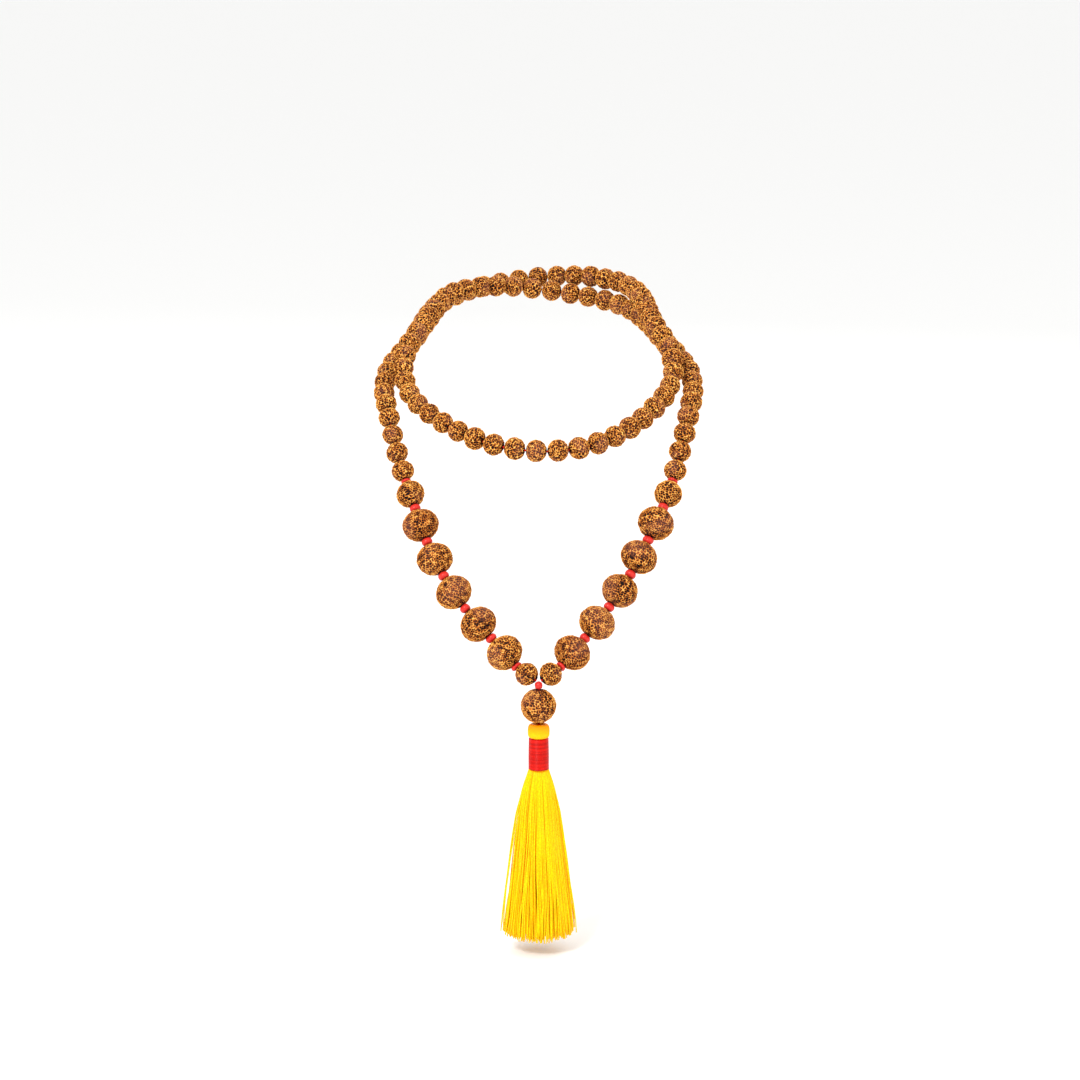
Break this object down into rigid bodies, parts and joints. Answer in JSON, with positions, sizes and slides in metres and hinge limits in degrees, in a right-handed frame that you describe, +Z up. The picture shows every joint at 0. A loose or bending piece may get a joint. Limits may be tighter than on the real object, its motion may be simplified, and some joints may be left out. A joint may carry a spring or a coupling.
{
  "type": "mala prayer beads",
  "caption": "String of rough seed prayer beads worn as a short and a long loop, with graded beads, red spacers, a guru bead and a silk tassel.",
  "frame": {"origin": "the point at the nape where the inner stretch of the strand rests on the neck", "axes": "+Z up, +X to the right seen from the front, -Y to the front, where the guru bead and tassel hang"},
  "size_m": [0.1207, 0.19, 0.2165],
  "materials": {
    "rudraksha": "rough, deeply pitted seed stone, tan ridges over dark pits, lightly oiled",
    "coral_bead": "coral red, semi-gloss, slightly uneven",
    "red_thread": "wound silk thread, soft sheen",
    "yellow_silk": "loose silk strands, soft sheen"
  },
  "bodies": {
    "nape_strands": {"nape_outer_run_1": "rudraksha", "nape_outer_run_2": "rudraksha", "nape_outer_run_3": "rudraksha", "nape_outer_run_4": "rudraksha", "nape_inner_run_1": "rudraksha", "nape_inner_run_2": "rudraksha", "nape_inner_run_3": "rudraksha", "nape_inner_run_4": "rudraksha"},
    "long_loop": {"long_loop_cord_left": "red_thread", "long_loop_cord_right": "red_thread", "chest_run_left": "rudraksha", "chest_run_right": "rudraksha"},
    "short_loop": {"short_loop_cord": "red_thread", "throat_run_left": "rudraksha", "throat_run_right": "rudraksha"},
    "pendant": {"junction_bead": "coral_bead", "pendant_cord": "red_thread"},
    "tassel": {"tassel_head": "yellow_silk", "tassel_binding": "red_thread"},
    "tassel_skirt": {"tassel_skirt": "yellow_silk"},
    "guru_bead": {"guru_bead": "rudraksha"},
    "small_bead_left": {"small_bead_left": "rudraksha"},
    "small_bead_right": {"small_bead_right": "rudraksha"},
    "large_bead_left_1": {"large_bead_left_1": "rudraksha"},
    "large_bead_left_2": {"large_bead_left_2": "rudraksha"},
    "large_bead_left_3": {"large_bead_left_3": "rudraksha"},
    "large_bead_left_4": {"large_bead_left_4": "rudraksha"},
    "large_bead_left_5": {"large_bead_left_5": "rudraksha"},
    "large_bead_right_1": {"large_bead_right_1": "rudraksha"},
    "large_bead_right_2": {"large_bead_right_2": "rudraksha"},
    "large_bead_right_3": {"large_bead_right_3": "rudraksha"},
    "large_bead_right_4": {"large_bead_right_4": "rudraksha"},
    "large_bead_right_5": {"large_bead_right_5": "rudraksha"},
    "medium_bead_left": {"medium_bead_left": "rudraksha"},
    "medium_bead_right": {"medium_bead_right": "rudraksha"},
    "chest_bead_left_1": {"chest_bead_left_1": "rudraksha"},
    "chest_bead_left_2": {"chest_bead_left_2": "rudraksha"},
    "chest_bead_right_1": {"chest_bead_right_1": "rudraksha"},
    "chest_bead_right_2": {"chest_bead_right_2": "rudraksha"},
    "throat_bead_left_1": {"throat_bead_left_1": "rudraksha"},
    "throat_bead_left_2": {"throat_bead_left_2": "rudraksha"},
    "throat_bead_left_3": {"throat_bead_left_3": "rudraksha"},
    "throat_bead_right_1": {"throat_bead_right_1": "rudraksha"},
    "throat_bead_right_2": {"throat_bead_right_2": "rudraksha"},
    "throat_bead_right_3": {"throat_bead_right_3": "rudraksha"},
    "front_bead": {"front_bead": "rudraksha"},
    "red_spacer_left_1": {"red_spacer_left_1": "coral_bead"},
    "red_spacer_left_2": {"red_spacer_left_2": "coral_bead"},
    "red_spacer_left_3": {"red_spacer_left_3": "coral_bead"},
    "red_spacer_left_4": {"red_spacer_left_4": "coral_bead"},
    "red_spacer_left_5": {"red_spacer_left_5": "coral_bead"},
    "red_spacer_left_6": {"red_spacer_left_6": "coral_bead"},
    "red_spacer_left_7": {"red_spacer_left_7": "coral_bead"},
    "red_spacer_right_1": {"red_spacer_right_1": "coral_bead"},
    "red_spacer_right_2": {"red_spacer_right_2": "coral_bead"},
    "red_spacer_right_3": {"red_spacer_right_3": "coral_bead"},
    "red_spacer_right_4": {"red_spacer_right_4": "coral_bead"},
    "red_spacer_right_5": {"red_spacer_right_5": "coral_bead"},
    "red_spacer_right_6": {"red_spacer_right_6": "coral_bead"},
    "red_spacer_right_7": {"red_spacer_right_7": "coral_bead"}
  },
  "joints": [
    {"name": "long_loop_lift", "type": "hinge", "parent": "nape_strands", "child": "long_loop", "pos_m": [0, -0.08725, -0.02443], "axis": [-1, 0, 0], "range_deg": [0, 55]},
    {"name": "short_loop_lift", "type": "hinge", "parent": "nape_strands", "child": "short_loop", "pos_m": [0, -0.08887, -0.02048], "axis": [-1, 0, 0], "range_deg": [0, 55]},
    {"name": "pendant_swing", "type": "hinge", "parent": "long_loop", "child": "pendant", "pos_m": [0, -0.164, -0.117], "axis": [-1, 0, 0], "range_deg": [-20, 60]},
    {"name": "tassel_sway", "type": "hinge", "parent": "pendant", "child": "tassel", "pos_m": [0, -0.164, -0.1307], "axis": [0, 1, 0], "range_deg": [-15, 15]},
    {"name": "skirt_swing", "type": "hinge", "parent": "tassel", "child": "tassel_skirt", "pos_m": [0, -0.164, -0.1492], "axis": [-1, 0, 0], "range_deg": [-20, 30]},
    {"name": "guru_bead_spin", "type": "hinge", "parent": "pendant", "child": "guru_bead", "pos_m": [0, -0.164, -0.1246], "axis": [0, 0, 1], "continuous": true},
    {"name": "small_bead_left_spin", "type": "hinge", "parent": "long_loop", "child": "small_bead_left", "pos_m": [-0.00415, -0.162, -0.11356], "axis": [-0.7862, 0.4168, 0.4562], "continuous": true},
    {"name": "small_bead_right_spin", "type": "hinge", "parent": "long_loop", "child": "small_bead_right", "pos_m": [0.00416, -0.16201, -0.11357], "axis": [-0.7883, -0.4183, -0.4513], "continuous": true},
    {"name": "large_bead_left_1_spin", "type": "hinge", "parent": "long_loop", "child": "large_bead_left_1", "pos_m": [-0.01189, -0.15741, -0.1071], "axis": [-0.6551, 0.3791, 0.6536], "continuous": true},
    {"name": "large_bead_left_2_spin", "type": "hinge", "parent": "long_loop", "child": "large_bead_left_2", "pos_m": [-0.02123, -0.15294, -0.0976], "axis": [-0.6588, 0.2934, 0.6927], "continuous": true},
    {"name": "large_bead_left_3_spin", "type": "hinge", "parent": "long_loop", "child": "large_bead_left_3", "pos_m": [-0.0298, -0.14805, -0.0876], "axis": [-0.5491, 0.404, 0.7316], "continuous": true},
    {"name": "large_bead_left_4_spin", "type": "hinge", "parent": "long_loop", "child": "large_bead_left_4", "pos_m": [-0.03652, -0.1417, -0.07702], "axis": [-0.4132, 0.4892, 0.7681], "continuous": true},
    {"name": "large_bead_left_5_spin", "type": "hinge", "parent": "long_loop", "child": "large_bead_left_5", "pos_m": [-0.0417, -0.13421, -0.0663], "axis": [-0.3227, 0.5858, 0.7435], "continuous": true},
    {"name": "large_bead_right_1_spin", "type": "hinge", "parent": "long_loop", "child": "large_bead_right_1", "pos_m": [0.01175, -0.15696, -0.10724], "axis": [-0.6258, -0.4492, -0.6376], "continuous": true},
    {"name": "large_bead_right_2_spin", "type": "hinge", "parent": "long_loop", "child": "large_bead_right_2", "pos_m": [0.0205, -0.15146, -0.09771], "axis": [-0.6084, -0.3443, -0.715], "continuous": true},
    {"name": "large_bead_right_3_spin", "type": "hinge", "parent": "long_loop", "child": "large_bead_right_3", "pos_m": [0.02856, -0.14648, -0.0873], "axis": [-0.532, -0.3787, -0.7573], "continuous": true},
    {"name": "large_bead_right_4_spin", "type": "hinge", "parent": "long_loop", "child": "large_bead_right_4", "pos_m": [0.03546, -0.14065, -0.07649], "axis": [-0.4525, -0.4356, -0.7781], "continuous": true},
    {"name": "large_bead_right_5_spin", "type": "hinge", "parent": "long_loop", "child": "large_bead_right_5", "pos_m": [0.04144, -0.13387, -0.06575], "axis": [-0.3955, -0.5555, -0.7315], "continuous": true},
    {"name": "medium_bead_left_spin", "type": "hinge", "parent": "long_loop", "child": "medium_bead_left", "pos_m": [-0.04563, -0.12614, -0.05679], "axis": [-0.2882, 0.6267, 0.724], "continuous": true},
    {"name": "medium_bead_right_spin", "type": "hinge", "parent": "long_loop", "child": "medium_bead_right", "pos_m": [0.04604, -0.12582, -0.05661], "axis": [-0.3037, -0.6435, -0.7026], "continuous": true},
    {"name": "chest_bead_left_1_spin", "type": "hinge", "parent": "long_loop", "child": "chest_bead_left_1", "pos_m": [-0.04858, -0.12005, -0.04943], "axis": [-0.2982, 0.5937, 0.7474], "continuous": true},
    {"name": "chest_bead_left_2_spin", "type": "hinge", "parent": "long_loop", "child": "chest_bead_left_2", "pos_m": [-0.0507, -0.11534, -0.04373], "axis": [-0.2521, 0.6312, 0.7335], "continuous": true},
    {"name": "chest_bead_right_1_spin", "type": "hinge", "parent": "long_loop", "child": "chest_bead_right_1", "pos_m": [0.04882, -0.1197, -0.04923], "axis": [-0.249, -0.5847, -0.7721], "continuous": true},
    {"name": "chest_bead_right_2_spin", "type": "hinge", "parent": "long_loop", "child": "chest_bead_right_2", "pos_m": [0.05068, -0.11497, -0.04331], "axis": [-0.2294, -0.6284, -0.7433], "continuous": true},
    {"name": "throat_bead_left_1_spin", "type": "hinge", "parent": "short_loop", "child": "throat_bead_left_1", "pos_m": [-0.00852, -0.13157, -0.03924], "axis": [-0.9732, 0.1974, 0.1181], "continuous": true},
    {"name": "throat_bead_left_2_spin", "type": "hinge", "parent": "short_loop", "child": "throat_bead_left_2", "pos_m": [-0.01588, -0.12936, -0.03813], "axis": [-0.9142, 0.3689, 0.168], "continuous": true},
    {"name": "throat_bead_left_3_spin", "type": "hinge", "parent": "short_loop", "child": "throat_bead_left_3", "pos_m": [-0.02263, -0.12584, -0.03663], "axis": [-0.8178, 0.5338, 0.2151], "continuous": true},
    {"name": "throat_bead_right_1_spin", "type": "hinge", "parent": "short_loop", "child": "throat_bead_right_1", "pos_m": [0.00678, -0.13177, -0.03993], "axis": [-0.9823, -0.184, -0.0353], "continuous": true},
    {"name": "throat_bead_right_2_spin", "type": "hinge", "parent": "short_loop", "child": "throat_bead_right_2", "pos_m": [0.01415, -0.12974, -0.03935], "axis": [-0.9321, -0.3433, -0.1158], "continuous": true},
    {"name": "throat_bead_right_3_spin", "type": "hinge", "parent": "short_loop", "child": "throat_bead_right_3", "pos_m": [0.02101, -0.12655, -0.03817], "axis": [-0.8532, -0.4856, -0.1904], "continuous": true},
    {"name": "front_bead_spin", "type": "hinge", "parent": "short_loop", "child": "front_bead", "pos_m": [-0.00083, -0.13241, -0.03989], "axis": [-0.9988, 0.0176, 0.0466], "continuous": true},
    {"name": "red_spacer_left_1_spin", "type": "hinge", "parent": "long_loop", "child": "red_spacer_left_1", "pos_m": [-0.00769, -0.15998, -0.11129], "axis": [-0.6108, 0.5053, 0.6096], "continuous": true},
    {"name": "red_spacer_left_2_spin", "type": "hinge", "parent": "long_loop", "child": "red_spacer_left_2", "pos_m": [-0.01654, -0.15494, -0.10247], "axis": [-0.6889, 0.2458, 0.6819], "continuous": true},
    {"name": "red_spacer_left_3_spin", "type": "hinge", "parent": "long_loop", "child": "red_spacer_left_3", "pos_m": [-0.02583, -0.1508, -0.09271], "axis": [-0.6271, 0.3409, 0.7003], "continuous": true},
    {"name": "red_spacer_left_4_spin", "type": "hinge", "parent": "long_loop", "child": "red_spacer_left_4", "pos_m": [-0.03355, -0.14512, -0.08241], "axis": [-0.4593, 0.466, 0.7562], "continuous": true},
    {"name": "red_spacer_left_5_spin", "type": "hinge", "parent": "long_loop", "child": "red_spacer_left_5", "pos_m": [-0.03937, -0.13823, -0.07159], "axis": [-0.3674, 0.5077, 0.7793], "continuous": true},
    {"name": "red_spacer_left_6_spin", "type": "hinge", "parent": "long_loop", "child": "red_spacer_left_6", "pos_m": [-0.04391, -0.12998, -0.06113], "axis": [-0.2733, 0.6621, 0.6979], "continuous": true},
    {"name": "red_spacer_left_7_spin", "type": "hinge", "parent": "long_loop", "child": "red_spacer_left_7", "pos_m": [-0.04723, -0.12272, -0.05279], "axis": [-0.3056, 0.5911, 0.7464], "continuous": true},
    {"name": "red_spacer_right_1_spin", "type": "hinge", "parent": "long_loop", "child": "red_spacer_right_1", "pos_m": [0.00771, -0.15995, -0.11134], "axis": [-0.6083, -0.5326, -0.5884], "continuous": true},
    {"name": "red_spacer_right_2_spin", "type": "hinge", "parent": "long_loop", "child": "red_spacer_right_2", "pos_m": [0.01618, -0.15392, -0.1027], "axis": [-0.6381, -0.3645, -0.6782], "continuous": true},
    {"name": "red_spacer_right_3_spin", "type": "hinge", "parent": "long_loop", "child": "red_spacer_right_3", "pos_m": [0.02475, -0.14907, -0.09262], "axis": [-0.5789, -0.322, -0.7492], "continuous": true},
    {"name": "red_spacer_right_4_spin", "type": "hinge", "parent": "long_loop", "child": "red_spacer_right_4", "pos_m": [0.03224, -0.14373, -0.08196], "axis": [-0.4783, -0.4386, -0.7608], "continuous": true},
    {"name": "red_spacer_right_5_spin", "type": "hinge", "parent": "long_loop", "child": "red_spacer_right_5", "pos_m": [0.03862, -0.1376, -0.07098], "axis": [-0.4284, -0.4259, -0.7969], "continuous": true},
    {"name": "red_spacer_right_6_spin", "type": "hinge", "parent": "long_loop", "child": "red_spacer_right_6", "pos_m": [0.04415, -0.12978, -0.06076], "axis": [-0.3462, -0.6947, -0.6305], "continuous": true},
    {"name": "red_spacer_right_7_spin", "type": "hinge", "parent": "long_loop", "child": "red_spacer_right_7", "pos_m": [0.04768, -0.12233, -0.0527], "axis": [-0.2669, -0.5856, -0.7654], "continuous": true}
  ]
}
